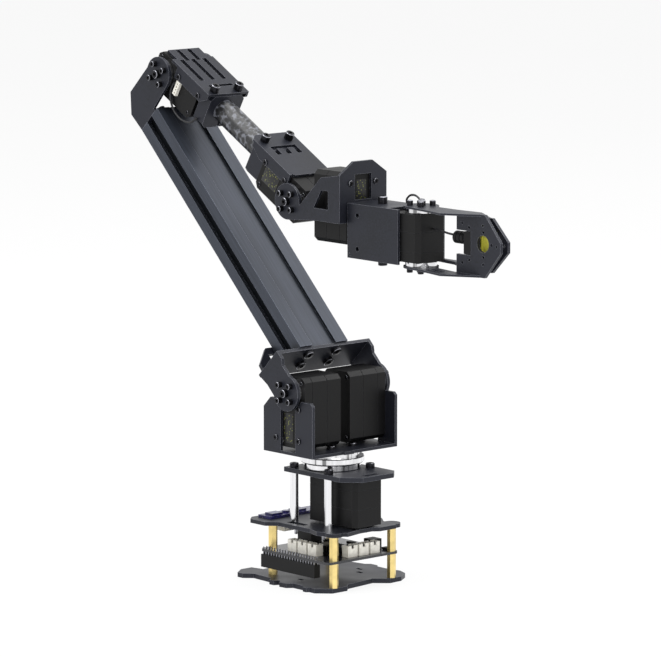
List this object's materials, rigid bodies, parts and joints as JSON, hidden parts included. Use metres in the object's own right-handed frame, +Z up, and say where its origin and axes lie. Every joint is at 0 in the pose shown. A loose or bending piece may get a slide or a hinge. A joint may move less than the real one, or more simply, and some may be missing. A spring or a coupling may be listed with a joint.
{
  "type": "robot arm",
  "caption": "Desktop robot arm with a turning base, profile upper arm, carbon tube forearm, rolling wrist and two jaw gripper.",
  "frame": {"origin": "on the yaw axis, in the underside of the base plate", "axes": "+X the way the arm reaches, +Y its left, +Z up"},
  "size_m": [0.3307, 0.0843, 0.3286],
  "materials": {
    "black_anodised_sheet": "satin",
    "brass": "satin",
    "bright_aluminium": "polished",
    "screw_steel": "satin",
    "black_plastic": "satin",
    "circuit_board": "satin",
    "white_plastic": "satin",
    "anodised_profile": "satin",
    "carbon_fibre": "gloss",
    "lead_rubber": "matte"
  },
  "bodies": {
    "root": {"base_plate": "black_anodised_sheet", "lower_standoffs": "brass", "upper_standoffs": "brass", "driver_board": "circuit_board", "header_socket": "black_plastic", "board_connectors": "white_plastic", "board_modules": "black_plastic", "mid_plate": "black_anodised_sheet", "switch_board": "circuit_board", "power_connector": "white_plastic", "support_posts": "bright_aluminium", "post_nuts": "screw_steel", "top_plate": "black_anodised_sheet", "post_screws": "screw_steel", "yaw_servo": "black_plastic", "bearing_base_ring": "bright_aluminium"},
    "turret": {"bearing_turn_ring": "bright_aluminium", "yaw_horn": "bright_aluminium", "turret_bracket": "black_anodised_sheet", "turret_screws": "screw_steel", "right_shoulder_servo": "black_plastic", "left_shoulder_servo": "black_plastic"},
    "upper_arm": {"shoulder_yoke": "black_anodised_sheet", "shoulder_horns": "bright_aluminium", "shoulder_horn_screws": "screw_steel", "arm_profile": "anodised_profile", "yoke_screws": "screw_steel", "elbow_bracket": "black_anodised_sheet", "elbow_screws": "screw_steel", "elbow_horns": "bright_aluminium", "elbow_horn_screws": "screw_steel"},
    "forearm": {"elbow_servo": "black_plastic", "elbow_cover": "black_anodised_sheet", "elbow_cover_screws": "screw_steel", "rear_tube_clamp": "black_anodised_sheet", "front_tube_clamp": "black_anodised_sheet", "carbon_tube": "carbon_fibre", "wrist_cover": "black_anodised_sheet", "wrist_cover_screws": "screw_steel", "flange_screws": "screw_steel", "wrist_servo": "black_plastic", "elbow_plug": "white_plastic", "elbow_lead": "lead_rubber"},
    "wrist": {"wrist_horns": "bright_aluminium", "wrist_horn_screws": "screw_steel", "wrist_yoke": "black_anodised_sheet", "roll_servo": "black_plastic", "roll_servo_screws": "screw_steel"},
    "hand": {"roll_horn": "bright_aluminium", "hand_frame": "black_anodised_sheet", "hand_screws": "screw_steel", "gripper_servo": "black_plastic", "fixed_jaw": "black_anodised_sheet", "work_lamp": "black_plastic", "lamp_lead": "lead_rubber", "hand_lead": "lead_rubber"},
    "jaw": {"moving_jaw": "black_anodised_sheet", "gripper_horns": "bright_aluminium", "jaw_screws": "screw_steel"}
  },
  "joints": [
    {"name": "base_yaw", "type": "hinge", "parent": "root", "child": "turret", "pos_m": [0, 0, 0.085], "axis": [0, 0, 1], "range_deg": [-180, 180]},
    {"name": "shoulder_pitch", "type": "hinge", "parent": "turret", "child": "upper_arm", "pos_m": [0, 0, 0.1247], "axis": [0, 1, 0], "range_deg": [-38, 110]},
    {"name": "elbow_pitch", "type": "hinge", "parent": "upper_arm", "child": "forearm", "pos_m": [-0.14623, 0, 0.31336], "axis": [0, -1, 0], "range_deg": [-15, 209]},
    {"name": "wrist_pitch", "type": "hinge", "parent": "forearm", "child": "wrist", "pos_m": [-0.02046, 0, 0.2422], "axis": [0, 1, 0], "range_deg": [-67, 55]},
    {"name": "wrist_roll", "type": "hinge", "parent": "wrist", "child": "hand", "pos_m": [0.02704, 0, 0.2284], "axis": [1, 0, 0], "range_deg": [-180, 180]},
    {"name": "gripper", "type": "hinge", "parent": "hand", "child": "jaw", "pos_m": [0.08204, 0, 0.2284], "axis": [0, 0, 1], "range_deg": [-90, 2.8]}
  ]
}
